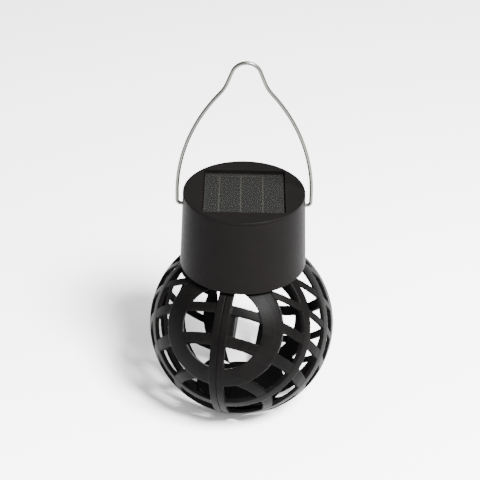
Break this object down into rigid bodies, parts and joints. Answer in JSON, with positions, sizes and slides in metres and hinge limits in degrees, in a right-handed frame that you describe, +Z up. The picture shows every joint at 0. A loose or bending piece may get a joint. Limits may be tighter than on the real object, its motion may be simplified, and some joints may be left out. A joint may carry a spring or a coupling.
{
  "type": "solar garden light",
  "caption": "Solar garden light: a ball of crossing dark bands under a round solar cap with a square panel and a swinging wire bail for hanging.",
  "frame": {"origin": "centre of the flat foot of the ball, on the surface the light stands on", "axes": "+Z up through the cap to the hanging arch; +X along the bail pivot, to the viewer's right; -Y towards the viewer"},
  "size_m": [0.126, 0.1262, 0.258],
  "materials": {
    "cage_plastic": "satin, lightly textured",
    "cap_plastic": "satin moulded",
    "works_plastic": "satin moulded",
    "cell_film": "smooth dark film",
    "ribbon_metal": "thin bright strip",
    "clear_cover": "clear and smooth",
    "bail_steel": "drawn wire, satin",
    "screw_steel": "bright plated",
    "pad_foam": "matt foam",
    "board_green": "solder mask",
    "part_black": "moulded",
    "lead_red": "satin insulation",
    "lead_black": "satin insulation",
    "seal_rubber": "matt",
    "battery_steel": "plated can",
    "battery_wrap": "printed sleeve",
    "contact_steel": "plated spring steel",
    "lamp_clear": "clear resin",
    "reflector_silver": "metallised",
    "switch_black": "moulded"
  },
  "bodies": {
    "cage": {"cage_half_left": "cage_plastic", "cage_half_right": "cage_plastic", "neck_band": "works_plastic", "base_plate": "works_plastic", "base_screws": "screw_steel"},
    "cap": {"cap_sleeve": "cap_plastic", "cap_top": "cap_plastic", "panel_pad": "pad_foam", "panel_board": "part_black", "solar_cells": "cell_film", "cell_ribbons": "ribbon_metal", "panel_window": "clear_cover", "carrier": "works_plastic", "carrier_seal": "seal_rubber", "carrier_screws": "screw_steel", "battery_cell": "battery_steel", "battery_wrap": "battery_wrap", "contact_plate": "contact_steel", "contact_spring": "contact_steel", "door_pin": "contact_steel", "circuit_board": "board_green", "board_parts": "part_black", "board_screws": "screw_steel", "led_lamp": "lamp_clear", "led_legs": "contact_steel", "led_reflector": "reflector_silver", "lamp_lens": "clear_cover", "switch_body": "switch_black", "panel_lead_red": "lead_red", "panel_lead_black": "lead_black", "battery_lead_red": "lead_red", "battery_lead_black": "lead_black"},
    "bail": {"bail_wire": "bail_steel", "bail_clips": "contact_steel"},
    "battery_door": {"battery_door": "works_plastic"},
    "switch_slider": {"switch_slider": "switch_black"}
  },
  "joints": [
    {"name": "cap_lift", "type": "slide", "parent": "cage", "child": "cap", "axis": [0, 0, 1], "range_m": [0, 0.06]},
    {"name": "bail_swing", "type": "hinge", "parent": "cap", "child": "bail", "pos_m": [0, 0, 0.155], "axis": [1, 0, 0], "range_deg": [-110, 110]},
    {"name": "door_hinge", "type": "hinge", "parent": "cap", "child": "battery_door", "pos_m": [0, 0.0186, 0.1194], "axis": [1, 0, 0], "range_deg": [0, 90]},
    {"name": "switch_slide", "type": "slide", "parent": "cap", "child": "switch_slider", "axis": [1, 0, 0], "range_m": [0, 0.002]}
  ]
}
